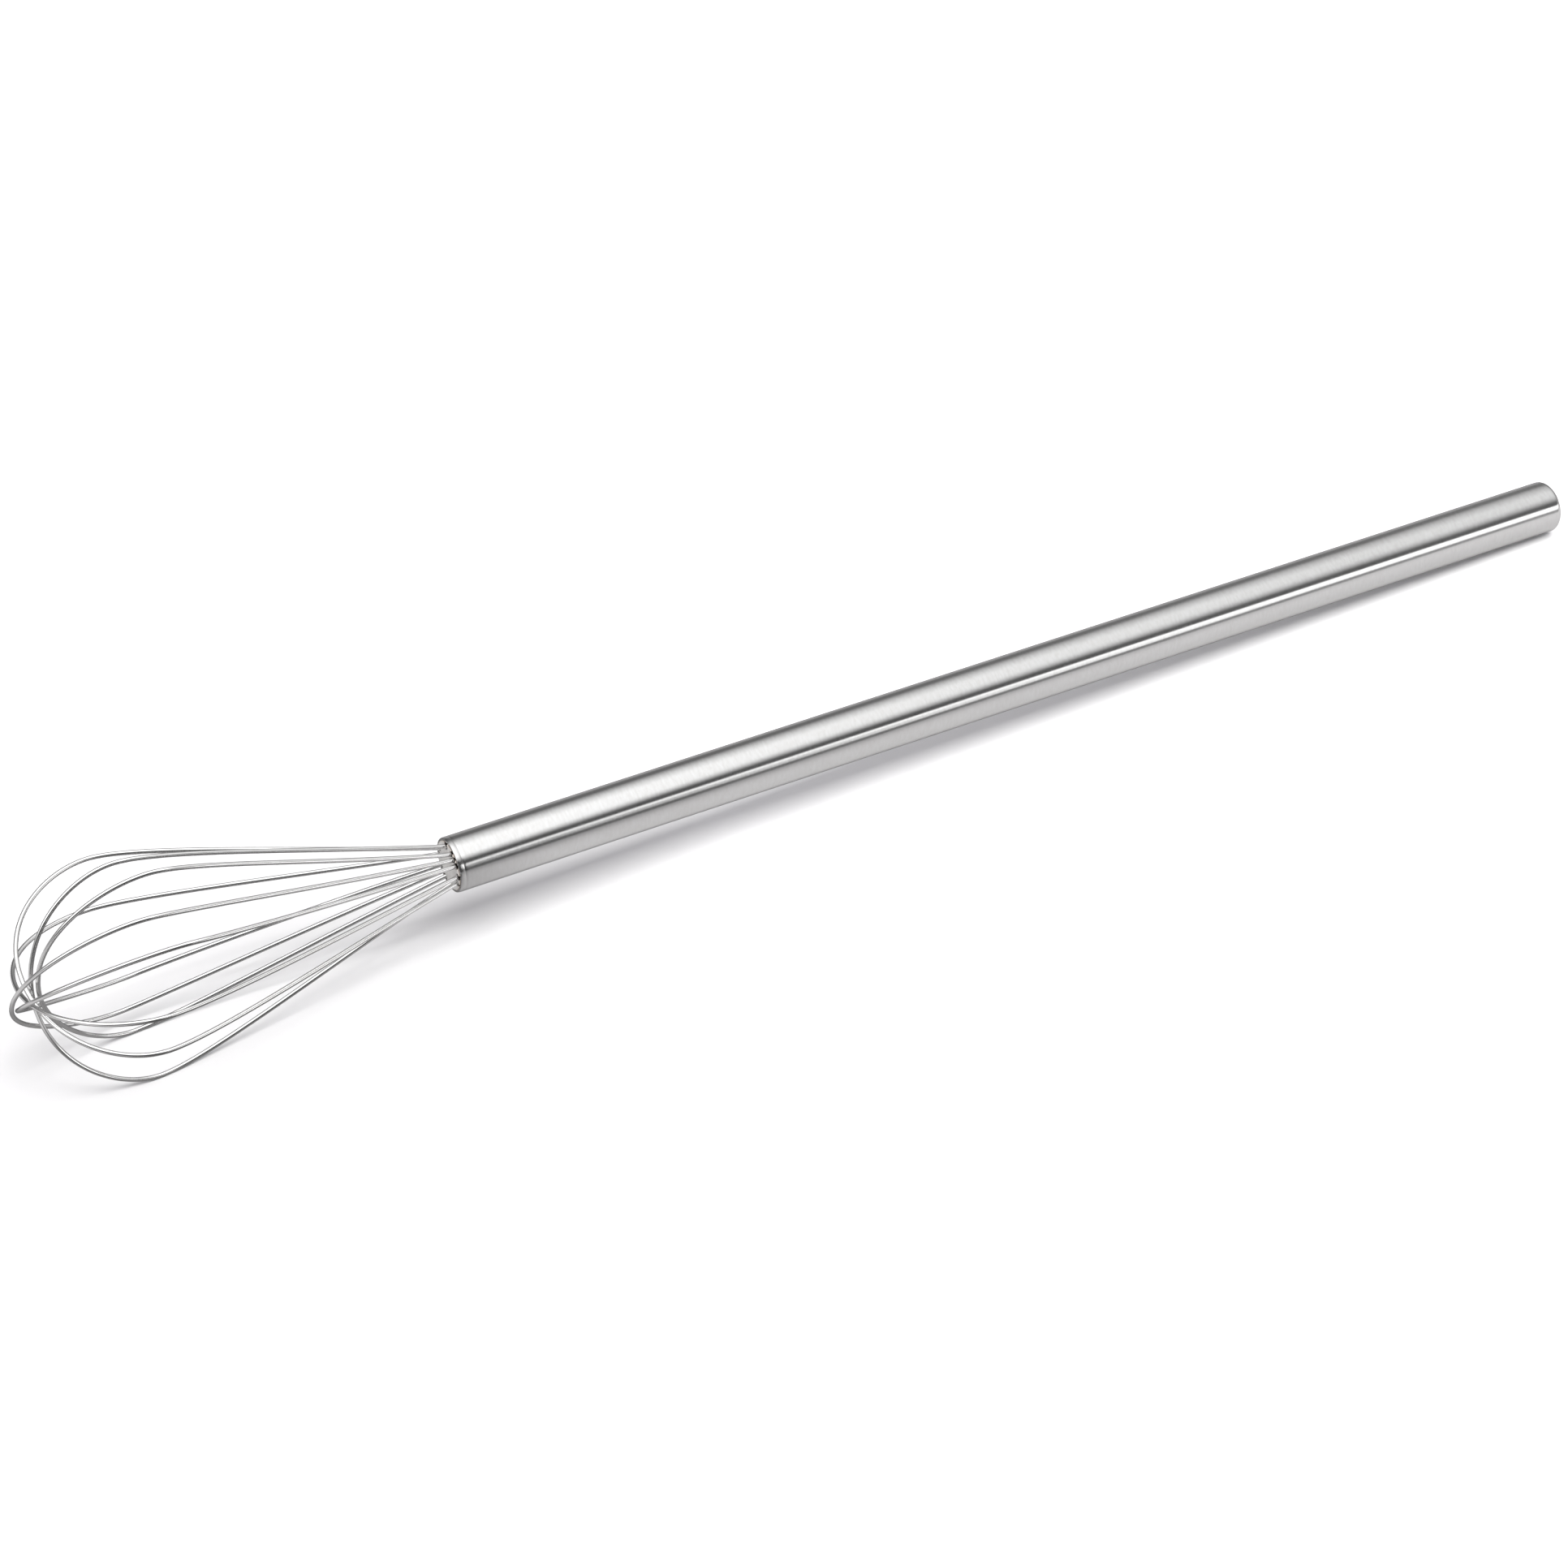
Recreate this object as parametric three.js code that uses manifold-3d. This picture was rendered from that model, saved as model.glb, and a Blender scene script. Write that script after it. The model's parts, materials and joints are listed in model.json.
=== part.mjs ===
// Balloon whisk: a long steel tube for a handle, with six spring-wire loops potted into its mouth.
// Millimetres, +Z up. The whisk lies at rest on a table at z = 0, with its head towards -X and its
// butt towards +X. The origin is on the table, under the middle of the whole whisk.

import * as THREE from "three";
import { mergeVertices } from "three/addons/utils/BufferGeometryUtils.js";
import Module from "manifold-3d";

// Handle tube: it lies along the whisk's own X axis, mouth at 0 and closed butt at TUBE_LENGTH.
const TUBE_RADIUS = 12.7;
const TUBE_WALL = 1.2;
const TUBE_LENGTH = 599.5;
const MOUTH_ROUND = 0.45; // the deburred outer edge of the mouth
const BUTT_ROUND = 3.4; // the edge spun over at the butt
const TUBE_BORE = TUBE_RADIUS - TUBE_WALL;
const LIP_RADIUS = 9.1; // the opening that the spun edge leaves for the end disc
const AROUND = 48; // sides of every turned piece
const MOUTH_STEPS = 3; // facets of the mouth's rounded edge
const BUTT_STEPS = 6; // and of the butt's

// End disc: welded into the spun lip and ground flush with it.
const FIT_GAP = 0.3;
const DISC_FACE_RADIUS = LIP_RADIUS - FIT_GAP;
const DISC_FLANGE_BACK = 7;
const DISC_FLANGE_FRONT = 3;

// Plugs in the tube, by their distance behind the mouth.
const PLUG_RADIUS = TUBE_BORE - FIT_GAP;
const SEAL_PROUD = 0.3; // how far the cast seal stands out of the mouth
const SEAL_DEPTH = 16;
const ANCHOR_START = 24;
const ANCHOR_END = 34;
const TAIL_DEPTH = 40; // where the wire tails end

// Wire
const WIRE_RADIUS = 1.025;
const WIRE_SIDES = 8;
const WIRE_STEPS = 72;
const SOCKET_GAP = 0.27;
const ROOT_RADIUS = 9.6; // the ring on which the legs leave the mouth
const ROOT_BEND = 3; // length of the bend just inside the mouth
const LEG_SPLAY = 0.01; // radians by which a leg leaves the mouth steeper than it goes on
const LEG_STIFF = 60; // how long a leg keeps its first direction
const LEAN_EASE = 0.7; // share of its sideways lean that a leg takes up over that length
const BELLY_IN = 22; // the belly's curve, on the mouth side
const BELLY_OUT = 20; // and on the tip side
const TIP_SPREAD = 32; // half width of the rounded tip

// How the whisk rests: two loops and the butt's edge bear on the table.
const REST_PITCH = 2.885; // degrees, head end up
const REST_TURN = -2.09; // degrees about the handle

// The loops, bent by hand, so no two are alike. Each lies in a plane through the handle's axis,
// turned by roll degrees from upright towards the -Y side. Reach is the tip's distance from the
// mouth, and drift how far the tip strays along and across the loop's plane. For the upper and the
// lower leg in turn, station is the belly's distance from the mouth, belly its radius about the
// axis, and lean how far it stands out of the plane.
const LOOPS = [
  { roll: 57, reach: 199.4, drift: [0, 1.5], station: [131, 137], belly: [47.5, 45], lean: [-9.5, 9] },
  { roll: 40, reach: 201.9, drift: [0, -0.5], station: [144, 147], belly: [46, 46.5], lean: [-11, 9] },
  { roll: 24, reach: 189.4, drift: [7.5, -3.5], station: [135, 145], belly: [52.5, 51], lean: [-15, 5] },
  { roll: -9.5, reach: 192, drift: [-0.5, -2], station: [146, 145], belly: [49, 51.5], lean: [-6, 6.5] },
  { roll: -92.5, reach: 196.7, drift: [4.5, 3], station: [150, 151], belly: [46.5, 48.5], lean: [1.5, 9] },
  { roll: -69, reach: 194.4, drift: [6.5, 5], station: [147, 150], belly: [54, 44.5], lean: [7, 4.5] },
];

const steel = (color, roughness) => new THREE.MeshStandardMaterial({ color, roughness, metalness: 1 });
const MATERIALS = {
  tube: () => steel(0xc9cacc, 0.32),
  disc: () => steel(0xc2c3c5, 0.35),
  wire: () => steel(0xd2d3d5, 0.2),
  anchor: () => steel(0xa9aaac, 0.5),
  seal: () => new THREE.MeshStandardMaterial({ color: 0xbab3a9, roughness: 0.6, metalness: 0 }),
};

const wasm = await Module();
wasm.setup();

const toRadians = THREE.MathUtils.degToRad;
const SAME_POINT = 1e-4; // vertices closer than this are one

function toSolid(geometry) {
  const bare = geometry.clone();
  bare.deleteAttribute("normal");
  bare.deleteAttribute("uv");
  const merged = mergeVertices(bare, SAME_POINT);
  return new wasm.Manifold(
    new wasm.Mesh({
      numProp: 3,
      vertProperties: merged.attributes.position.array,
      triVerts: new Uint32Array(merged.index.array),
    }),
  );
}

function toGeometry(solid) {
  const mesh = solid.getMesh();
  const geometry = new THREE.BufferGeometry();
  geometry.setAttribute("position", new THREE.BufferAttribute(mesh.vertProperties, 3));
  geometry.setIndex(new THREE.BufferAttribute(mesh.triVerts, 1));
  geometry.computeVertexNormals();
  return geometry;
}

// A piece turned about the X axis, from a profile of [x, radius] points.
function turned(profile) {
  const points = profile.map(([x, radius]) => new THREE.Vector2(radius, x));
  return new THREE.LatheGeometry(points, AROUND).rotateZ(-Math.PI / 2);
}

// Points on an arc about [x, radius], from one angle to another, in degrees from +X.
function arc(x, radius, size, from, to, steps) {
  const points = [];
  for (let i = 0; i <= steps; i++) {
    const angle = toRadians(from + ((to - from) * i) / steps);
    points.push([x + size * Math.cos(angle), radius + size * Math.sin(angle)]);
  }
  return points;
}

function handleTube() {
  const end = TUBE_LENGTH;
  const corner = TUBE_RADIUS - BUTT_ROUND;
  const profile = [
    [0, TUBE_BORE],
    ...arc(MOUTH_ROUND, TUBE_RADIUS - MOUTH_ROUND, MOUTH_ROUND, 180, 90, MOUTH_STEPS),
    ...arc(end - BUTT_ROUND, corner, BUTT_ROUND, 90, 0, BUTT_STEPS),
    [end, LIP_RADIUS],
    [end - TUBE_WALL, LIP_RADIUS],
    ...arc(end - BUTT_ROUND, corner, BUTT_ROUND - TUBE_WALL, 0, 90, BUTT_STEPS),
    [0, TUBE_BORE],
  ];
  return turned(profile);
}

function endDisc() {
  const end = TUBE_LENGTH;
  return turned([
    [end - DISC_FLANGE_BACK, 0],
    [end - DISC_FLANGE_BACK, PLUG_RADIUS],
    [end - DISC_FLANGE_FRONT, PLUG_RADIUS],
    [end - DISC_FLANGE_FRONT, DISC_FACE_RADIUS],
    [end, DISC_FACE_RADIUS],
    [end, 0],
  ]);
}

// One leg of a loop, from its tail in the handle to the tip. Side is 1 for the upper leg, -1 for the
// lower one.
function legCurves(loop, side) {
  const index = side > 0 ? 0 : 1;
  const belly = loop.belly[index];
  const lean = loop.lean[index];
  const station = loop.station[index];
  const [along, across] = loop.drift;
  const point = (distance, radius, out) => new THREE.Vector3(-distance, -out, side * radius);

  const slope = Math.atan((belly - ROOT_RADIUS) / station) + LEG_SPLAY;
  const leanSlope = lean / station;
  const tailRadius = ROOT_RADIUS - (ROOT_BEND / 2) * Math.tan(slope);
  const stiffEnd = point(
    LEG_STIFF * Math.cos(slope),
    ROOT_RADIUS + LEG_STIFF * Math.sin(slope),
    LEG_STIFF * leanSlope * LEAN_EASE,
  );
  const bellyPoint = point(station, belly, lean);
  const tip = point(loop.reach, side * along, across);
  const tipRise = TIP_SPREAD / (belly - side * along);

  const tail = new THREE.LineCurve3(
    point(-TAIL_DEPTH, tailRadius, 0),
    point(-ROOT_BEND, tailRadius, 0),
  );
  const bend = new THREE.QuadraticBezierCurve3(
    point(-ROOT_BEND, tailRadius, 0),
    point(-ROOT_BEND / 2, tailRadius, 0),
    point(0, ROOT_RADIUS, 0),
  );
  const flank = new THREE.CubicBezierCurve3(
    point(0, ROOT_RADIUS, 0),
    stiffEnd,
    point(station - BELLY_IN, belly, lean - BELLY_IN * leanSlope),
    bellyPoint,
  );
  const crown = new THREE.CubicBezierCurve3(
    bellyPoint,
    point(station + BELLY_OUT, belly, lean + BELLY_OUT * leanSlope),
    point(loop.reach, side * along + TIP_SPREAD, across + tipRise * (lean - across)),
    tip,
  );
  return [tail, bend, flank, crown];
}

function reversed(curve) {
  if (curve.isLineCurve3) return new THREE.LineCurve3(curve.v2, curve.v1);
  if (curve.isQuadraticBezierCurve3) return new THREE.QuadraticBezierCurve3(curve.v2, curve.v1, curve.v0);
  return new THREE.CubicBezierCurve3(curve.v3, curve.v2, curve.v1, curve.v0);
}

function loopPath(loop) {
  const path = new THREE.CurvePath();
  legCurves(loop, 1).forEach((curve) => path.add(curve));
  legCurves(loop, -1)
    .reverse()
    .forEach((curve) => path.add(reversed(curve)));
  return path;
}

// A round rod of the given radius along a loop.
function loopRod(loop, radius) {
  const section = new THREE.Shape();
  section.absarc(0, 0, radius, 0, 2 * Math.PI);
  return new THREE.ExtrudeGeometry(section, {
    steps: WIRE_STEPS,
    curveSegments: WIRE_SIDES / 2,
    bevelEnabled: false,
    extrudePath: loopPath(loop),
  });
}

// A disc in the tube, bored where the loops pass through it.
function boredPlug(from, to) {
  let plug = toSolid(turned([[from, 0], [from, PLUG_RADIUS], [to, PLUG_RADIUS], [to, 0]]));
  for (const loop of LOOPS) {
    const socket = loopRod(loop, WIRE_RADIUS + SOCKET_GAP).rotateX(toRadians(loop.roll));
    plug = plug.subtract(toSolid(socket));
  }
  return toGeometry(plug);
}

function named(name, geometry, material) {
  const mesh = new THREE.Mesh(geometry, material);
  mesh.name = name;
  return mesh;
}

function buildWhisk() {
  const whisk = new THREE.Group();
  whisk.add(
    named("handle_tube", handleTube(), MATERIALS.tube()),
    named("butt_disc", endDisc(), MATERIALS.disc()),
    named("mouth_seal", boredPlug(-SEAL_PROUD, SEAL_DEPTH), MATERIALS.seal()),
    named("wire_anchor", boredPlug(ANCHOR_START, ANCHOR_END), MATERIALS.anchor()),
  );
  LOOPS.forEach((loop, i) => {
    const wire = named("wire_loop_" + (i + 1), loopRod(loop, WIRE_RADIUS), MATERIALS.wire());
    wire.rotation.x = toRadians(loop.roll);
    whisk.add(wire);
  });
  return whisk;
}

// Lays the whisk on the table and puts the origin under the middle of its box.
function laidDown(whisk) {
  whisk.rotation.x = toRadians(REST_TURN);
  const tipped = new THREE.Group();
  tipped.rotation.y = toRadians(REST_PITCH);
  tipped.add(whisk);
  const placed = new THREE.Group();
  placed.add(tipped);
  const box = new THREE.Box3().setFromObject(placed, true);
  const middle = box.getCenter(new THREE.Vector3());
  tipped.position.set(-middle.x, -middle.y, -box.min.z);
  return placed;
}

export default laidDown(buildWhisk());
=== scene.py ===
"""A balloon whisk lying on a pale studio floor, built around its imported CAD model.

The tube, the end disc, the cast seal and the six wire loops are made again here as fine smooth
meshes. Their sizes and places are read from the CAD nodes. Lengths are in metres.
"""

import json
import math

import bmesh
import bpy
import numpy as np
from mathutils import Matrix, Quaternion, Vector, noise


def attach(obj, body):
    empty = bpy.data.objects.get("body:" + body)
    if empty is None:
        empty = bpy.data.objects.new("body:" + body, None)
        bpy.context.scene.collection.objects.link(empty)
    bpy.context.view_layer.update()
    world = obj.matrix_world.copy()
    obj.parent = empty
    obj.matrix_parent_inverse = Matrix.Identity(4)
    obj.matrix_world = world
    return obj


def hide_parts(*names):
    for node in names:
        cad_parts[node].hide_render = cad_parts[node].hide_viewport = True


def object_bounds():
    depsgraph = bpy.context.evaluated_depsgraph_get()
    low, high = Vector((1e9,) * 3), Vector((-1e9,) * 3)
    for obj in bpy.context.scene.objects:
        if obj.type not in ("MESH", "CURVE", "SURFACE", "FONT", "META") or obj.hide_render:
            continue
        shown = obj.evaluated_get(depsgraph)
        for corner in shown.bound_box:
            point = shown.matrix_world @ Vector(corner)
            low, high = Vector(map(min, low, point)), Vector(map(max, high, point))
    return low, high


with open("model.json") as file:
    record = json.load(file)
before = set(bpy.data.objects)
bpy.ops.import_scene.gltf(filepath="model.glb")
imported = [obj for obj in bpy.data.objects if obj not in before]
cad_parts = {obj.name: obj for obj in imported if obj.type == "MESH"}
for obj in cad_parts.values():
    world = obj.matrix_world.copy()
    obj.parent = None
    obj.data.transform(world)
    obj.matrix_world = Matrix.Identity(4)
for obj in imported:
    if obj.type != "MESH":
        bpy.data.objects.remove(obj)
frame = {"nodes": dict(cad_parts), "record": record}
cad_low, cad_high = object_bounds()

MM = 0.001
BODY = "root"

# Fine shape of the handle, which the CAD tube leaves plain
TUBE_SIDES = 256
SHARP_ANGLE = 40  # degrees between faces above which an edge is drawn sharp
MOUTH_EASE_LENGTH = 1.3 * MM  # the belt-sanded edge that runs into the mouth
MOUTH_EASE_DROP = 0.38 * MM
MOUTH_WALL_EASE = 0.1 * MM  # how far the tube's inner corner at the mouth is broken
RING_PLACE = 2.5 * MM  # the faint turned line beside the mouth
RING_WIDTH = 0.24 * MM
RING_DEPTH = 0.035 * MM
DISC_JOINT = 0.05 * MM  # the hairline left between the spun lip and the end disc
DISC_EDGE = 0.15 * MM
DISC_FLANGE_GAP = 0.3 * MM
DISC_STEP = 3 * MM  # how thick the disc is in front of its flange
LIP_LAP = 0.25 * MM  # the lip reaches this far in over the CAD's gap
PLAIN_START = 4 * MM  # where the plain length of the tube starts
PLAIN_ROWS = 40
ARC_STEPS = 14
INNER_ARC_STEPS = 6

# Cast seal
SEAL_RINGS = 90
SEAL_SIDES = 480
SEAL_JOINT = 0.06 * MM
SEAL_EDGE = 0.35 * MM
SEAL_WAVE = 0.09 * MM
SEAL_WAVE_SCALE = 330  # about as many waves to a metre
SEAL_LUMP_SHARE = 0.4
SEAL_LUMP_SCALE = 1200
PIT_DEPTH = 1.1 * MM
PIT_GAP = 0.16 * MM
PIT_GAP_SPREAD = 0.34 * MM
PIT_WALL = 0.42 * MM
COLLAR_HEIGHT = 0.16 * MM  # the low ring of filling round each pit
COLLAR_WIDTH = 0.8 * MM

# Wires
WIRE_SIDES = 24
WIRE_STEP = 1.0 * MM
ROD_END = 4 * MM  # wider than a CAD rod's end and narrower than the space between two
ROD_END_DEPTH = 0.5 * MM

# Steel: shares of its tone and of its roughness, and how fine each noise is
STEEL_DARK = 0.93
STEEL_LIGHT = 1.06
SCRATCH_DARK = 0.72
SCRATCH_SHARE = 0.10
COARSE_SHARE = 0.22
COARSE_ROUGH = 0.2
CLOUD_SCALE = 22.0
CLOUD_ROUGH = 0.35
SPOT_SCALE = 160.0
MOTTLE_ALONG = 0.35
MOTTLE_ACROSS = 260.0

# Cast resin
RESIN_DARK = (0.56, 0.545, 0.52, 1)
RESIN_LIGHT = (0.78, 0.77, 0.75, 1)
RESIN_RIM = (0.30, 0.21, 0.14, 1)
# Near black in the pits: painted shade, not the resin's own colour
RESIN_PIT_PAINTED_SHADE = (0.045, 0.032, 0.025, 1)
RIM_STAIN = (0.7 * MM, 0.05 * MM)  # from the tube's wall
PIT_PAINTED_SHADE_DEPTHS = (0.08 * MM, 0.5 * MM)  # painted shade in the pits, from and to these depths below the seal's face

# Camera
CAMERA_PLACE = (-0.6764, -1.2316, 1.2318)
CAMERA_AZIMUTH = -27.66
CAMERA_ELEVATION = 41.15
CAMERA_ROLL = -1.50
CAMERA_LENS = 92.55
SENSOR_WIDTH = 36

# Lamp and even light
LAMP_SIZE = (2.9, 1.85)
LAMP_ENERGY = 122
LAMP_COLOUR = (1.0, 0.99, 0.98)
LAMP_PLACE = (0.2, -0.95, 2.7)
LAMP_AIM = (0.2, 0, 0)
EVEN_COLOUR = (0.985, 0.965, 1.0, 1)
EVEN_STRENGTH = 0.65

# Floor as the camera sees it
FLOOR_HALF = 6.0
FLOOR_TINT = -0.004
FLOOR_WHITE = (0.89, 0.91)
CAGE_MIDDLE = (-0.3, 0, 0)
CAGE_PAINTED_SHADE = 0.68  # painted shade: the floor's colour is made duller round the cage for the dimmer light there, where the wires' faint shadows fall
# Distances over which the painted shade round the cage gives way to white
CAGE_PAINTED_SHADE_EDGE = (0.10, 0.24)
FLOOR_FADE = (0.9, 2.2)  # distances between which it fades into the white background

# Floor as the steel mirrors it: grey levels, the distances from the handle's line over which they
# change, and the places along the whisk where one gives way to the next
MIRROR_HANDLE = (0.23, 0.66)
MIRROR_HANDLE_REACH = 0.15
# The distance's factor at the whisk's middle, its fall per metre towards the butt, and the least
# that it falls to. The smaller it is, the wider the light pool in front of the handle.
MIRROR_HANDLE_START = 0.75
MIRROR_HANDLE_FALL = 1.3
MIRROR_HANDLE_LEAST = 0.15
MIRROR_UNDER = 0.16
MIRROR_UNDER_SHARE = 0.45
MIRROR_UNDER_REACH = 0.025
MIRROR_BEHIND = 0.30
MIRROR_BEHIND_EDGE = (0.0, 0.03)
MIRROR_HEAD = (0.07, 0.23)
MIRROR_HEAD_REACH = 0.05
MIRROR_HEAD_END = (-0.26, -0.14)
MIRROR_TIP = 0.42
MIRROR_TIP_START = (-0.41, -0.47)

# Studio tent that only the steel mirrors: how bright it is by the angle from overhead, in degrees,
# towards the camera's side (positive) or the far side (negative). Which list counts goes by how
# far a direction points along the whisk, from -1 at the tip's end to 1 at the butt's: head up to
# HEAD_TO_NEAR, near up to NEAR_TO_FAR, and far from there on.
TENT_HEAD = [
    (-96, 0.45),
    (-85, 0.20),
    (-67, 0.12),
    (-50, 0.40),
    (-32, 1.50),
    (-15, 2.05),
    (24, 2.0),
    (36, 1.0),
    (43, 0.10),
    (91, 0.07),
]
TENT_NEAR = [
    (-96, 0.55),
    (-85, 0.22),
    (-67, 0.20),
    (-53, 0.70),
    (-35, 1.35),
    (-15, 1.98),
    (25, 1.95),
    (38, 1.0),
    (47, 0.11),
    (59, 0.06),
    (61.5, 2.0),
    (65, 2.0),
    (68, 0.10),
    (85, 0.08),
    (91, 0.26),
]
TENT_FAR = [
    (-96, 0.68),
    (-82, 0.25),
    (-61, 0.26),
    (-50, 0.60),
    (-31, 0.90),
    (-9, 1.15),
    (15, 1.08),
    (31, 0.68),
    (45, 0.20),
    (61, 0.12),
    (64, 2.5),
    (79, 2.5),
    (82, 0.40),
    (87, 0.45),
    (91, 0.60),
]
TENT_TOP = 2.5  # the brightest that the tent can be
HEAD_TO_NEAR = (0.20, 0.26)
NEAR_TO_FAR = (0.33, 0.54)
NEAR_TURN_START = 0.36  # from here towards the head, the near list is turned a little
NEAR_TURN_RATE = 0.9
NEAR_TURN_MOST = 0.09  # radians
END_PANEL = 0.5  # a panel beyond each end of the whisk
END_PANEL_EDGE = (0.82, 0.95)


# ---------------------------------------------------------------- the handle's own frame

def handle_frame():
    """The matrix from the handle's frame, with X from mouth to butt, Z up and its origin in the
    mouth, to the row frame. Then the handle's length."""
    mount = next(m for m in frame["record"]["mounts"] if m["name"] == "butt_face")
    along = Vector(mount["axis"]).normalized()
    side = Vector((0, 0, 1)).cross(along).normalized()
    top = along.cross(side)
    butt = Vector(mount["pos_m"])
    turn = Matrix((along, side, top)).transposed()
    vertices = frame["nodes"]["handle_tube"].data.vertices
    length = -min(along.dot(v.co - butt) for v in vertices)
    return Matrix.Translation(butt - along * length) @ turn.to_4x4(), length


HANDLE, TUBE_LENGTH = handle_frame()


def node_points(name):
    """A CAD node's points in the handle's frame."""
    into = HANDLE.inverted()
    return np.array([into @ v.co for v in frame["nodes"][name].data.vertices])


def radii(name):
    """How far a CAD node's points lie from the handle's axis."""
    points = node_points(name)
    return np.hypot(points[:, 1], points[:, 2])


tube_along = node_points("handle_tube")[:, 0]
tube_radii = radii("handle_tube")
TUBE_RADIUS = tube_radii.max()
TUBE_BORE = tube_radii[tube_along < 0.1 * MM].min()
TUBE_WALL = TUBE_RADIUS - TUBE_BORE
LIP_RADIUS = tube_radii.min()
BUTT_ROUND = TUBE_LENGTH - tube_along[tube_radii > TUBE_RADIUS - 0.01 * MM].max()
SEAL_FRONT = node_points("mouth_seal")[:, 0].min()
SEAL_BACK = node_points("mouth_seal")[:, 0].max()
DISC_BACK = node_points("butt_disc")[:, 0].min()


# ---------------------------------------------------------------- meshes

def surface(name, rows, lengths, homes):
    """A closed surface from rows of points round it, with smooth shading. A row of one point is a
    pole, and a first or last row of more gets a flat face. The uv map called grain holds the
    distance along and the share of the way round. The attribute called home holds each point's
    place in the piece's own frame, for the materials: homes has the same rows as the points."""
    made = bmesh.new()
    grain = made.loops.layers.uv.new("grain")
    rings = [[made.verts.new(p) for p in row] for row in rows]
    sides = max(len(row) for row in rows)
    for i in range(len(rings) - 1):
        a, b = rings[i], rings[i + 1]
        for k in range(sides):
            n = (k + 1) % sides
            corners = []
            for ring, pick, row in ((a, k, i), (a, n, i), (b, n, i + 1), (b, k, i + 1)):
                vertex = ring[pick % len(ring)]
                turn = k if pick == k else k + 1
                if all(vertex is not other for other, _ in corners):
                    corners.append((vertex, (lengths[row], turn / sides)))
            face = made.faces.new([vertex for vertex, _ in corners])
            face.smooth = True
            for loop, (_, at) in zip(face.loops, corners):
                loop[grain].uv = at
    for ring, flip in ((rings[0], True), (rings[-1], False)):
        if len(ring) > 1:
            made.faces.new(list(reversed(ring)) if flip else ring)
    bmesh.ops.recalc_face_normals(made, faces=made.faces)
    mesh = bpy.data.meshes.new(name)
    made.to_mesh(mesh)
    made.free()
    mesh.set_sharp_from_angle(angle=math.radians(SHARP_ANGLE))
    home = mesh.attributes.new("home", "FLOAT_VECTOR", "POINT")
    places = np.array([p for row in homes for p in row], np.float32)
    home.data.foreach_set("vector", places.ravel())
    piece = bpy.data.objects.new(name, mesh)
    bpy.context.scene.collection.objects.link(piece)
    return piece


def handle_surface(name, rows, lengths):
    """A surface whose rows are in the handle's frame."""
    return surface(name, [[HANDLE @ p for p in row] for row in rows], lengths, rows)


def ring_points(x, radius, sides):
    """A ring about the handle's axis. A ring of no radius is a pole."""
    if radius < 1e-9:
        return [Vector((x, 0, 0))]
    angles = [2 * math.pi * k / sides for k in range(sides)]
    return [Vector((x, radius * math.sin(a), radius * math.cos(a))) for a in angles]


def turned(name, profile, sides, closed=False):
    """A piece turned about the handle's axis, from [x, radius] points. Closed repeats the first
    point at the end, for a piece with a hole through it."""
    points = list(profile) + ([profile[0]] if closed else [])
    rows, lengths, run = [], [], 0
    for i, (x, radius) in enumerate(points):
        rows.append(ring_points(x, radius, sides))
        if i:
            run += math.dist(points[i], points[i - 1])
        lengths.append(run)
    return handle_surface(name, rows, lengths)


def arc(x, radius, size_x, size_r, start, end, steps=ARC_STEPS):
    """Points on part of an ellipse about [x, radius], by the angle from +X in degrees."""
    angles = np.radians(np.linspace(start, end, steps + 1))
    return [(x + size_x * math.cos(a), radius + size_r * math.sin(a)) for a in angles]


def smooth_step(value, low, high):
    """A smooth run from 0 at low to 1 at high."""
    share = min(1.0, max(0.0, (value - low) / (high - low)))
    return share * share * (3 - 2 * share)


def finish_piece(piece, node, material):
    """Gives a piece its material and its place among the CAD nodes."""
    piece.data.materials.append(material)
    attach(piece, BODY)
    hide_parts(node)
    return piece


def stitch_closed_ring(piece):
    """Joins the first and last ring of a closed profile, whose points are the same, and takes
    away the two flat faces between them."""
    made = bmesh.new()
    made.from_mesh(piece.data)
    caps = [f for f in made.faces if len(f.verts) > 4]
    bmesh.ops.delete(made, geom=caps, context="FACES_ONLY")
    bmesh.ops.remove_doubles(made, verts=made.verts, dist=1e-7)
    bmesh.ops.recalc_face_normals(made, faces=made.faces)
    made.to_mesh(piece.data)
    made.free()


# ---------------------------------------------------------------- the handle

def handle_tube():
    """The tube, from its sanded mouth to the edge spun in round the end disc, and back inside."""
    ease = MOUTH_EASE_LENGTH
    ring = [
        (RING_PLACE - RING_WIDTH / 2, TUBE_RADIUS),
        (RING_PLACE, TUBE_RADIUS - RING_DEPTH),
        (RING_PLACE + RING_WIDTH / 2, TUBE_RADIUS),
    ]
    plain = np.linspace(PLAIN_START, TUBE_LENGTH - 2 * BUTT_ROUND, PLAIN_ROWS)
    round_middle = (TUBE_LENGTH - BUTT_ROUND, TUBE_RADIUS - BUTT_ROUND)
    inner_round = BUTT_ROUND - TUBE_WALL
    lip = LIP_RADIUS - LIP_LAP
    profile = (
        [(0, TUBE_BORE + MOUTH_WALL_EASE)]
        + arc(ease, TUBE_RADIUS - MOUTH_EASE_DROP, ease, MOUTH_EASE_DROP, 180, 90)
        + ring
        + [(x, TUBE_RADIUS) for x in plain]
        + arc(*round_middle, BUTT_ROUND, BUTT_ROUND, 90, 0)
        + [(TUBE_LENGTH, lip + DISC_EDGE), (TUBE_LENGTH - DISC_EDGE, lip)]
        + [(TUBE_LENGTH - TUBE_WALL, lip)]
        + arc(*round_middle, inner_round, inner_round, 0, 90, INNER_ARC_STEPS)
        + [(MOUTH_WALL_EASE, TUBE_BORE)]
    )
    piece = turned("handle_tube_fine", profile, TUBE_SIDES, closed=True)
    stitch_closed_ring(piece)
    return finish_piece(piece, "handle_tube", MATERIALS["tube"])


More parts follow.
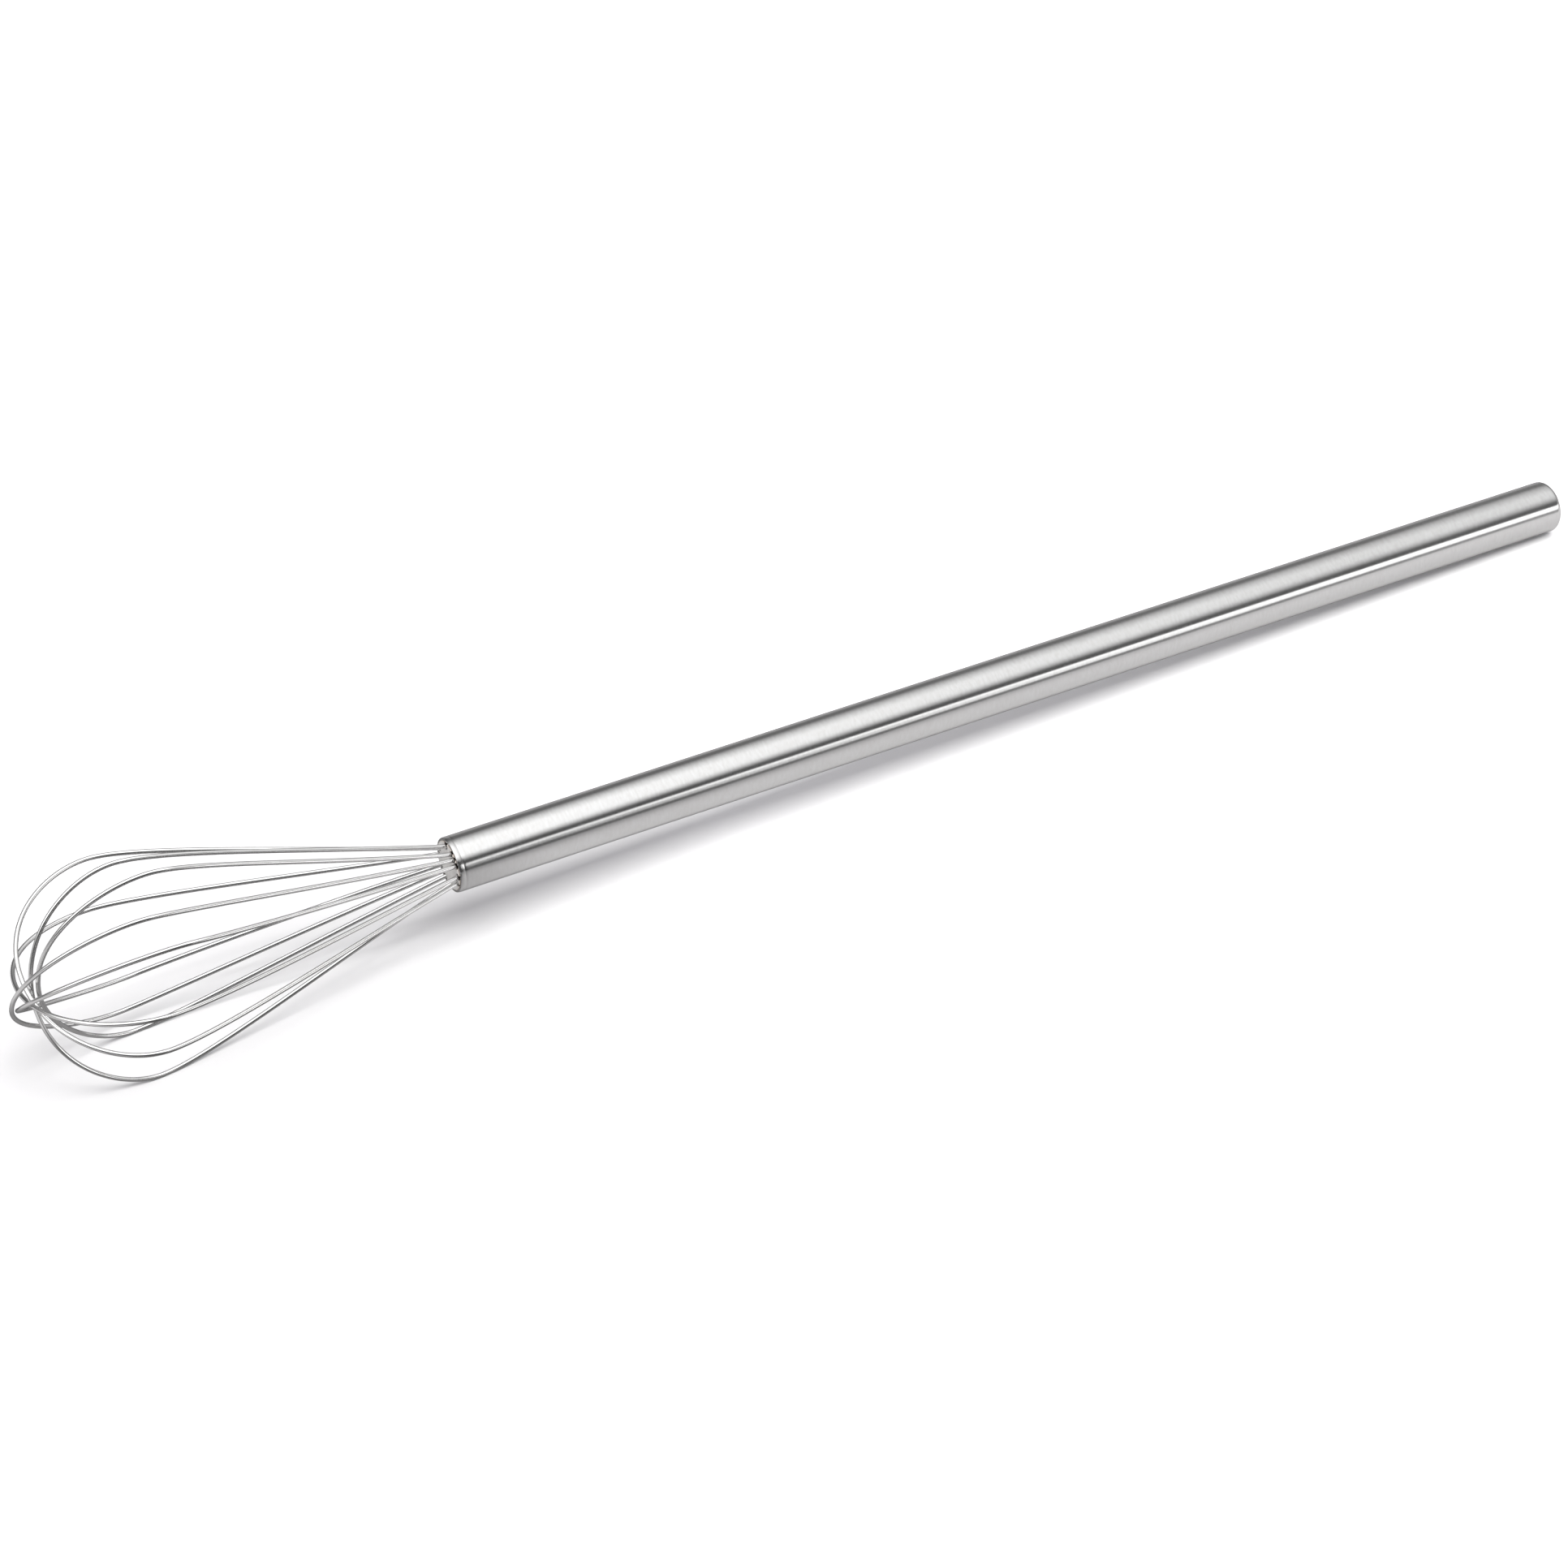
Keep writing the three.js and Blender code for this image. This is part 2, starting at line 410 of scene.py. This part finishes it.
def end_disc():
    """The disc that closes the butt, with a flange behind the spun lip."""
    radius = LIP_RADIUS - LIP_LAP - DISC_JOINT
    flange = TUBE_BORE - DISC_FLANGE_GAP
    step = TUBE_LENGTH - DISC_STEP
    profile = [
        (DISC_BACK, 0),
        (DISC_BACK, flange),
        (step, flange),
        (step, radius),
        (TUBE_LENGTH - DISC_EDGE, radius),
        (TUBE_LENGTH, radius - DISC_EDGE),
    ]
    profile += [(TUBE_LENGTH, r) for r in np.linspace(radius * 0.9, radius * 0.1, 9)]
    profile += [(TUBE_LENGTH, 0)]
    piece = turned("end_disc_fine", profile, TUBE_SIDES)
    return finish_piece(piece, "butt_disc", MATERIALS["disc"])


# ---------------------------------------------------------------- the wires

def centre_line(node):
    """The middle of a swept CAD rod, ring by ring, from one of its ends in the handle, and the
    rod's radius."""
    mesh = frame["nodes"][node].data
    seen, index = {}, []
    for v in mesh.vertices:
        index.append(seen.setdefault(tuple(v.co), len(seen)))
    points = np.array(list(seen))
    near = [set() for _ in points]
    for edge in mesh.edges:
        a, b = (index[v] for v in edge.vertices)
        near[a].add(b)
        near[b].add(a)
    local = np.array([HANDLE.inverted() @ Vector(p) for p in points])
    first = int(local[:, 0].argmax())
    close = np.linalg.norm(local - local[first], axis=1) < ROD_END
    level = local[:, 0] > local[first, 0] - ROD_END_DEPTH
    end_face = np.flatnonzero(level & close).tolist()
    ring = set(end_face)
    middles, done = [], set()
    while ring:
        middles.append(points[sorted(ring)].mean(0))
        done |= ring
        ring = set().union(*(near[p] for p in ring)) - done
    start = points[end_face]
    radius = float(np.linalg.norm(start - start.mean(0), axis=1).max())
    return np.array(middles), radius


def resampled(points, step):
    """Even steps along a smooth curve through the points."""
    chord = np.r_[0, np.cumsum(np.linalg.norm(np.diff(points, axis=0), axis=1))]
    slope = np.gradient(points, chord, axis=0)
    count = int(chord[-1] / step)
    at = np.linspace(0, chord[-1], count + 1)
    i = np.clip(np.searchsorted(chord, at, side="right") - 1, 0, len(points) - 2)
    span = (chord[i + 1] - chord[i])[:, None]
    t = (at - chord[i])[:, None] / span
    return (
        (1 + 2 * t) * (1 - t) ** 2 * points[i]
        + t * (1 - t) ** 2 * span * slope[i]
        + t * t * (3 - 2 * t) * points[i + 1]
        + t * t * (t - 1) * span * slope[i + 1]
    )


def swept(name, line, radius):
    """A round rod along a line, with flat ends and no twist."""
    tangents = np.gradient(line, axis=0)
    tangents /= np.linalg.norm(tangents, axis=1)[:, None]
    across = Vector(tangents[0]).orthogonal().normalized()
    rows, homes, lengths, run = [[Vector(line[0])]], [[Vector()]], [0.0], 0.0
    angles = [2 * math.pi * k / WIRE_SIDES for k in range(WIRE_SIDES)]
    for i, (middle, tangent) in enumerate(zip(line, tangents)):
        t = Vector(tangent)
        across = (across - t * across.dot(t)).normalized()
        other = t.cross(across)
        if i:
            run += float(np.linalg.norm(line[i] - line[i - 1]))
        spokes = [(radius * math.cos(a), radius * math.sin(a)) for a in angles]
        rows.append([Vector(middle) + c * across + s * other for c, s in spokes])
        homes.append([Vector((run, c, s)) for c, s in spokes])
        lengths.append(run)
    rows.append([Vector(line[-1])])
    homes.append([Vector((run, 0, 0))])
    lengths.append(run)
    return surface(name, rows, lengths, homes)


def wire_loops():
    """Makes the six loops. Returns where their legs leave the seal, across the handle's frame, and
    the wire's radius."""
    exits = []
    for node in sorted(n for n in frame["nodes"] if n.startswith("wire_loop_")):
        middles, radius = centre_line(node)
        line = resampled(middles, WIRE_STEP)
        piece = swept(node + "_fine", line, radius)
        finish_piece(piece, node, MATERIALS["wire"])
        local = np.array([HANDLE.inverted() @ Vector(p) for p in line])
        for a, b in zip(local[:-1], local[1:]):
            if (a[0] - SEAL_FRONT) * (b[0] - SEAL_FRONT) <= 0:
                exits.append((a + b)[1:] / 2)
    return exits, radius


# ---------------------------------------------------------------- the cast seal

def seal_height(y, z, exits, wire_radius):
    """How far the seal's face stands in front of its level: waves, collars and pits at the wires."""
    height = SEAL_WAVE * noise.noise(Vector((y, z, 0)) * SEAL_WAVE_SCALE)
    lump = noise.noise(Vector((y, z, 0.02)) * SEAL_LUMP_SCALE)
    height += SEAL_LUMP_SHARE * SEAL_WAVE * lump
    for i, (wire_y, wire_z) in enumerate(exits):
        # Fixed numbers that make each pit a little wider or narrower, and off its wire's middle
        loose = 0.5 + 0.5 * math.sin(7.3 * i + 1.1)
        aim = 2 * math.pi * (0.31 * i % 1)
        shift = 0.3 * loose * PIT_GAP_SPREAD
        across = y - wire_y - shift * math.cos(aim)
        up = z - wire_z - shift * math.sin(aim)
        gap = math.hypot(across, up) - wire_radius
        rim = PIT_GAP + PIT_GAP_SPREAD * loose
        height += COLLAR_HEIGHT * math.exp(-(((gap - rim - PIT_WALL) / (COLLAR_WIDTH / 2)) ** 2))
        height -= PIT_DEPTH * (1 - smooth_step(gap, rim, rim + PIT_WALL))
    return height


def mouth_seal(exits, wire_radius):
    """The cast seal: an uneven face, a rounded rim that dips where a pit meets it, and a plain
    side and back inside the tube."""
    edge = TUBE_BORE - SEAL_JOINT
    face = edge - SEAL_EDGE
    rows, lengths = [], []
    for step in range(SEAL_RINGS + 1):
        row = ring_points(SEAL_FRONT, face * step / SEAL_RINGS, SEAL_SIDES)
        for point in row:
            point.x -= seal_height(point.y, point.z, exits, wire_radius)
        rows.append(row)
        lengths.append(face * step / SEAL_RINGS)
    fronts = [point.x for point in rows[-1]]
    for x, radius in arc(SEAL_EDGE, face, SEAL_EDGE, SEAL_EDGE, 180, 90, INNER_ARC_STEPS)[1:]:
        row = ring_points(x, radius, SEAL_SIDES)
        for point, front in zip(row, fronts):
            point.x += front
        rows.append(row)
        lengths.append(lengths[-1] + SEAL_EDGE)
    rows.append(ring_points(SEAL_BACK, edge, SEAL_SIDES))
    lengths.append(lengths[-1] + SEAL_EDGE)
    rows.append(ring_points(SEAL_BACK, 0, SEAL_SIDES))
    lengths.append(lengths[-1] + edge)
    piece = handle_surface("mouth_seal_fine", rows, lengths)
    return finish_piece(piece, "mouth_seal", MATERIALS["seal"])


# ---------------------------------------------------------------- materials

class Nodes:
    """A material's or a world's node tree, with short calls for what repeats."""

    def __init__(self, owner):
        owner.use_nodes = True
        self.tree = owner.node_tree
        self.tree.nodes.clear()

    def add(self, kind, inputs=None, **settings):
        made = self.tree.nodes.new(kind)
        for key, value in settings.items():
            setattr(made, key, value)
        for key, value in (inputs or {}).items():
            if hasattr(value, "is_output"):
                self.tree.links.new(value, made.inputs[key])
            else:
                made.inputs[key].default_value = value
        return made

    def home(self):
        """The place in the piece's own frame, in metres."""
        return self.add("ShaderNodeAttribute", attribute_name="home").outputs["Vector"]

    def math(self, operation, a, b=0.0):
        return self.add("ShaderNodeMath", {0: a, 1: b}, operation=operation).outputs[0]

    def vector_math(self, operation, a, b):
        return self.add("ShaderNodeVectorMath", {0: a, 1: b}, operation=operation).outputs[0]

    def size(self, vector):
        made = self.add("ShaderNodeVectorMath", {0: vector}, operation="LENGTH")
        return made.outputs["Value"]

    def share(self, value, start, end):
        """A number that runs from 0 to 1 as value runs from start to end, and stops there."""
        made = self.add("ShaderNodeMapRange", {"Value": value, "From Min": start, "From Max": end})
        return made.outputs["Result"]

    def fading(self, distance, reach):
        """A number that falls from 1 towards 0 with the distance, by e over each reach."""
        return self.math("EXPONENT", self.math("DIVIDE", distance, -reach))

    def between(self, share, low, high):
        """A number that runs from low to high as share runs from 0 to 1."""
        made = self.add("ShaderNodeMapRange", {"Value": share, "To Min": low, "To Max": high})
        return made.outputs["Result"]

    def mix(self, share, a, b):
        made = self.add("ShaderNodeMix", data_type="RGBA")
        for key, value in ((0, share), (6, a), (7, b)):
            if hasattr(value, "is_output"):
                self.tree.links.new(value, made.inputs[key])
            else:
                made.inputs[key].default_value = value
        return made.outputs[2]

    def noise(self, where, scale, detail=2.0, roughness=0.5):
        made = self.add(
            "ShaderNodeTexNoise",
            {"Vector": where, "Scale": scale, "Detail": detail, "Roughness": roughness},
        )
        return made.outputs["Fac"]

    def stretched(self, where, factors):
        return self.vector_math("MULTIPLY", where, factors)

    def off_middle(self, value, middle, amount):
        """How far a value lies from its middle, times an amount."""
        return self.math("MULTIPLY", self.math("SUBTRACT", value, middle), amount)

    def blend(self, value, other, share):
        """A weighted sum of two numbers. The second one's weight is the share."""
        first = self.math("MULTIPLY", value, 1 - share)
        return self.math("ADD", first, self.math("MULTIPLY", other, share))


def grey(level, warmth=0.0):
    """A near-grey colour. Warmth above 0 turns it towards brown, and below 0 towards blue."""
    return (level * (1 + warmth), level, level * (1 - warmth), 1)


def steel_material(name, tone, rough, stretch, scratches, scratch_lift, wear, fine_piece=True):
    """Bright steel whose reflections are stretched across its grain. Scratches holds the scratch
    noise's factors along the piece and both ways across it."""
    material = bpy.data.materials.new(name)
    n = Nodes(material)
    where = n.home() if fine_piece else n.add("ShaderNodeTexCoord").outputs["Object"]
    fine = n.noise(n.stretched(where, scratches), 1.0, 3.0, 0.6)
    coarse = n.noise(n.stretched(where, tuple(COARSE_SHARE * s for s in scratches)), 1.0)
    cloud = n.noise(where, CLOUD_SCALE, 3.0, 0.55)
    spots = n.noise(where, SPOT_SCALE, 2.0, 0.6)
    mottle_scale = (MOTTLE_ALONG * scratches[0], MOTTLE_ACROSS, MOTTLE_ACROSS)
    mottle = n.noise(n.stretched(where, mottle_scale), 1.0, 3.0, 0.6)

    dark, light = grey(tone * STEEL_DARK, 0.012), grey(tone * STEEL_LIGHT, -0.004)
    colour = n.mix(n.blend(cloud, n.share(mottle, 0.3, 0.7), 0.6), dark, light)
    scratched = grey(tone * SCRATCH_DARK, 0.02)
    colour = n.mix(n.between(fine, 0.0, SCRATCH_SHARE), colour, scratched)

    roughness = n.math("ADD", rough, n.off_middle(coarse, 0.5, rough * COARSE_ROUGH))
    roughness = n.math("ADD", roughness, n.off_middle(cloud, 0.5, rough * CLOUD_ROUGH))
    roughness = n.math("ADD", roughness, n.off_middle(spots, 0.55, wear))

    lift = n.blend(fine, coarse, 0.4)
    bump = n.add("ShaderNodeBump", {"Height": lift, "Strength": 1.0, "Distance": scratch_lift})
    shader = n.add(
        "ShaderNodeBsdfPrincipled",
        {
            "Base Color": colour,
            "Metallic": 1.0,
            "Roughness": roughness,
            "Anisotropic": stretch,
            "Normal": bump.outputs[0],
        },
    )
    if fine_piece:
        tangent = n.add("ShaderNodeTangent", direction_type="UV_MAP", uv_map="grain")
        n.tree.links.new(tangent.outputs[0], shader.inputs["Tangent"])
    n.add("ShaderNodeOutputMaterial", {"Surface": shader.outputs[0]})
    return material


def seal_material():
    """Cast resin, matt and a little mottled, stained brown along its rim, with painted shade in its
    pits.
    """
    material = bpy.data.materials.new("cast_resin")
    n = Nodes(material)
    where = n.home()
    split = n.add("ShaderNodeSeparateXYZ", {0: where})
    mottle = n.noise(where, 420.0, 4.0, 0.6)
    grit = n.noise(where, 2600.0, 2.0, 0.5)
    flat = n.add("ShaderNodeCombineXYZ", {1: split.outputs[1], 2: split.outputs[2]})
    radius = n.size(flat.outputs[0])
    rim = n.share(radius, TUBE_BORE - RIM_STAIN[0], TUBE_BORE - RIM_STAIN[1])
    pit_shade = n.share(split.outputs[0], SEAL_FRONT + PIT_PAINTED_SHADE_DEPTHS[0], SEAL_FRONT + PIT_PAINTED_SHADE_DEPTHS[1])
    colour = n.mix(mottle, RESIN_DARK, RESIN_LIGHT)
    colour = n.mix(n.math("MULTIPLY", rim, mottle), colour, RESIN_RIM)
    # Painted shade: near black deep in the pits round the wires
    colour = n.mix(pit_shade, colour, RESIN_PIT_PAINTED_SHADE)
    lift = n.math("ADD", mottle, n.math("MULTIPLY", grit, 0.3))
    bump = n.add("ShaderNodeBump", {"Height": lift, "Strength": 0.6, "Distance": 0.12 * MM})
    shader = n.add(
        "ShaderNodeBsdfPrincipled",
        {
            "Base Color": colour,
            "Roughness": n.between(mottle, 0.42, 0.68),
            "Normal": bump.outputs[0],
        },
    )
    n.add("ShaderNodeOutputMaterial", {"Surface": shader.outputs[0]})
    return material


def seen_floor(n, where):
    """The floor's colour for the camera and the light: white, with painted shade round the cage."""
    grain = n.noise(where, 60.0)
    white = n.mix(grain, *(grey(level, FLOOR_TINT) for level in FLOOR_WHITE))
    from_cage = n.size(n.vector_math("SUBTRACT", where, CAGE_MIDDLE))
    # Painted shade: darker round the cage, standing in for the dimmer light there
    return n.mix(n.share(from_cage, *CAGE_PAINTED_SHADE_EDGE), grey(CAGE_PAINTED_SHADE, FLOOR_TINT), white)


def mirrored_floor(n, where):
    """The floor's colour for the steel. It stands for the shades that a real floor has round a
    whisk in a tent: light in front of the handle, dark right under it, and darker by the head."""
    split = n.add("ShaderNodeSeparateXYZ", {0: where})
    along, across = split.outputs[0], split.outputs[1]
    away = n.math("ABSOLUTE", across)
    fall = n.math("MULTIPLY", along, MIRROR_HANDLE_FALL)
    falling = n.math("SUBTRACT", MIRROR_HANDLE_START, fall)
    shrink = n.math("MAXIMUM", falling, MIRROR_HANDLE_LEAST)
    pool = n.fading(n.math("MULTIPLY", away, shrink), MIRROR_HANDLE_REACH)
    by_handle = n.mix(pool, *map(grey, MIRROR_HANDLE))
    under = n.math("MULTIPLY", n.fading(away, MIRROR_UNDER_REACH), MIRROR_UNDER_SHARE)
    by_handle = n.mix(under, by_handle, grey(MIRROR_UNDER))
    by_handle = n.mix(n.share(across, *MIRROR_BEHIND_EDGE), by_handle, grey(MIRROR_BEHIND))
    by_head = n.mix(n.fading(away, MIRROR_HEAD_REACH), *map(grey, MIRROR_HEAD))
    by_head = n.mix(n.share(along, *MIRROR_TIP_START), by_head, grey(MIRROR_TIP))
    return n.mix(n.share(along, *MIRROR_HEAD_END), by_head, by_handle)


def floor_material():
    """A white floor, with other shades where the steel mirrors it. Far off it fades into the white
    background for the camera."""
    material = bpy.data.materials.new("studio_floor")
    n = Nodes(material)
    where = n.add("ShaderNodeTexCoord").outputs["Object"]
    path = n.add("ShaderNodeLightPath")
    glossy = path.outputs["Is Glossy Ray"]
    colour = n.mix(glossy, seen_floor(n, where), mirrored_floor(n, where))
    shader = n.add("ShaderNodeBsdfDiffuse", {"Color": colour})
    fade = n.add("ShaderNodeEmission", {"Color": grey(1.0), "Strength": 1.0})
    far_off = n.math("MULTIPLY", n.share(n.size(where), *FLOOR_FADE), path.outputs["Is Camera Ray"])
    faded = n.add("ShaderNodeMixShader", {0: far_off, 1: shader.outputs[0], 2: fade.outputs[0]})
    n.add("ShaderNodeOutputMaterial", {"Surface": faded.outputs[0]})
    return material


MATERIALS = {
    "tube": steel_material(
        name="tube_steel_satin",
        tone=0.58,
        rough=0.19,
        stretch=0.8,
        scratches=(2600, 45, 45),
        scratch_lift=0.006 * MM,
        wear=0.06,
    ),
    "disc": steel_material(
        name="disc_steel_ground",
        tone=0.56,
        rough=0.28,
        stretch=0.5,
        scratches=(900, 900, 900),
        scratch_lift=0.004 * MM,
        wear=0.05,
    ),
    "wire": steel_material(
        name="wire_steel_drawn",
        tone=0.78,
        rough=0.08,
        stretch=0.0,
        scratches=(500, 500, 500),
        scratch_lift=0.0004 * MM,
        wear=0.02,
    ),
    "anchor": steel_material(
        name="anchor_steel_plain",
        tone=0.5,
        rough=0.4,
        stretch=0.2,
        scratches=(700, 700, 700),
        scratch_lift=0.006 * MM,
        wear=0.05,
        fine_piece=False,
    ),
    "seal": seal_material(),
}


# ---------------------------------------------------------------- studio

def tent_ramp(n, angle, stops):
    """The tent's colour by the angle in radians for one list of stops, as a share of TENT_TOP."""
    share = n.math("ADD", n.math("DIVIDE", angle, 2 * math.pi), 0.5)
    made = n.add("ShaderNodeValToRGB", {"Fac": share})
    ramp = made.color_ramp
    while len(ramp.elements) < len(stops):
        ramp.elements.new(0.5)
    for element, (degrees, level) in zip(ramp.elements, stops):
        element.position = 0.5 + degrees / 360
        element.color = grey(level / TENT_TOP)
    return made.outputs["Color"]


def mirrored_tent(n, toward):
    """The colour of the tent that the steel mirrors, by direction."""
    split = n.add("ShaderNodeSeparateXYZ", {0: toward})
    along = split.outputs[0]
    front = n.math("MULTIPLY", split.outputs[1], -1.0)
    angle = n.math("ARCTAN2", front, split.outputs[2])
    turn = n.math("MULTIPLY", n.math("SUBTRACT", NEAR_TURN_START, along), NEAR_TURN_RATE)
    turn = n.math("MINIMUM", n.math("MAXIMUM", turn, 0.0), NEAR_TURN_MOST)
    head = tent_ramp(n, angle, TENT_HEAD)
    near = tent_ramp(n, n.math("SUBTRACT", angle, turn), TENT_NEAR)
    far = tent_ramp(n, angle, TENT_FAR)
    tent = n.mix(n.share(along, *HEAD_TO_NEAR), head, near)
    tent = n.mix(n.share(along, *NEAR_TO_FAR), tent, far)
    beyond_end = n.share(n.math("ABSOLUTE", along), *END_PANEL_EDGE)
    return n.mix(beyond_end, tent, grey(END_PANEL / TENT_TOP))


def studio_world():
    """A white tent with darker gaps for the steel to mirror, an even light on everything else, and
    plain white for the camera."""
    world = bpy.data.worlds.new("studio")
    bpy.context.scene.world = world
    n = Nodes(world)
    tent = mirrored_tent(n, n.add("ShaderNodeTexCoord").outputs["Generated"])
    mirrored = n.add("ShaderNodeBackground", {"Color": tent, "Strength": TENT_TOP})
    even = n.add("ShaderNodeBackground", {"Color": EVEN_COLOUR, "Strength": EVEN_STRENGTH})
    plain = n.add("ShaderNodeBackground", {"Color": grey(1.0), "Strength": 1.0})
    path = n.add("ShaderNodeLightPath")
    inner = n.add(
        "ShaderNodeMixShader",
        {0: path.outputs["Is Glossy Ray"], 1: even.outputs[0], 2: mirrored.outputs[0]},
    )
    outer = n.add(
        "ShaderNodeMixShader",
        {0: path.outputs["Is Camera Ray"], 1: inner.outputs[0], 2: plain.outputs[0]},
    )
    n.add("ShaderNodeOutputWorld", {"Surface": outer.outputs[0]})


def studio_light():
    """One big soft lamp, overhead and towards the camera, that the steel doesn't mirror."""
    lamp = bpy.data.lights.new("soft_lamp", "AREA")
    lamp.shape = "RECTANGLE"
    lamp.size, lamp.size_y = LAMP_SIZE
    lamp.energy = LAMP_ENERGY
    lamp.color = LAMP_COLOUR
    piece = bpy.data.objects.new("soft_lamp", lamp)
    piece.location = LAMP_PLACE
    aim = Vector(LAMP_AIM) - piece.location
    piece.rotation_euler = aim.to_track_quat("-Z", "Y").to_euler()
    piece.visible_glossy = False
    piece.visible_camera = False
    bpy.context.scene.collection.objects.link(piece)


def studio_floor():
    half = FLOOR_HALF
    mesh = bpy.data.meshes.new("floor")
    corners = [(-half, -half, 0), (half, -half, 0), (half, half, 0), (-half, half, 0)]
    mesh.from_pydata(corners, [], [(0, 1, 2, 3)])
    mesh.materials.append(floor_material())
    floor = bpy.data.objects.new("floor", mesh)
    floor.location = (0, 0, cad_low.z)
    bpy.context.scene.collection.objects.link(floor)


def studio_camera():
    """A camera at the photo's angle."""
    data = bpy.data.cameras.new("camera")
    data.lens = CAMERA_LENS
    data.sensor_width = SENSOR_WIDTH
    data.clip_start = 0.05
    data.clip_end = 50
    camera = bpy.data.objects.new("camera", data)
    a, e = math.radians(CAMERA_AZIMUTH), math.radians(CAMERA_ELEVATION)
    back = Vector((math.sin(a) * math.cos(e), -math.cos(a) * math.cos(e), math.sin(e)))
    roll = Quaternion((0, 0, 1), math.radians(CAMERA_ROLL))
    camera.rotation_mode = "QUATERNION"
    camera.rotation_quaternion = back.to_track_quat("Z", "Y") @ roll
    camera.location = CAMERA_PLACE
    bpy.context.scene.collection.objects.link(camera)
    bpy.context.scene.camera = camera


def show_colours_plainly():
    settings = bpy.context.scene.view_settings
    settings.view_transform = "Standard"
    settings.look = "None"


# ---------------------------------------------------------------- build

handle_tube()
end_disc()
wire_exits, wire_radius = wire_loops()
mouth_seal(wire_exits, wire_radius)
anchor = frame["nodes"]["wire_anchor"].data.materials
anchor.clear()
anchor.append(MATERIALS["anchor"])

studio_world()
studio_light()
studio_floor()
studio_camera()
show_colours_plainly()
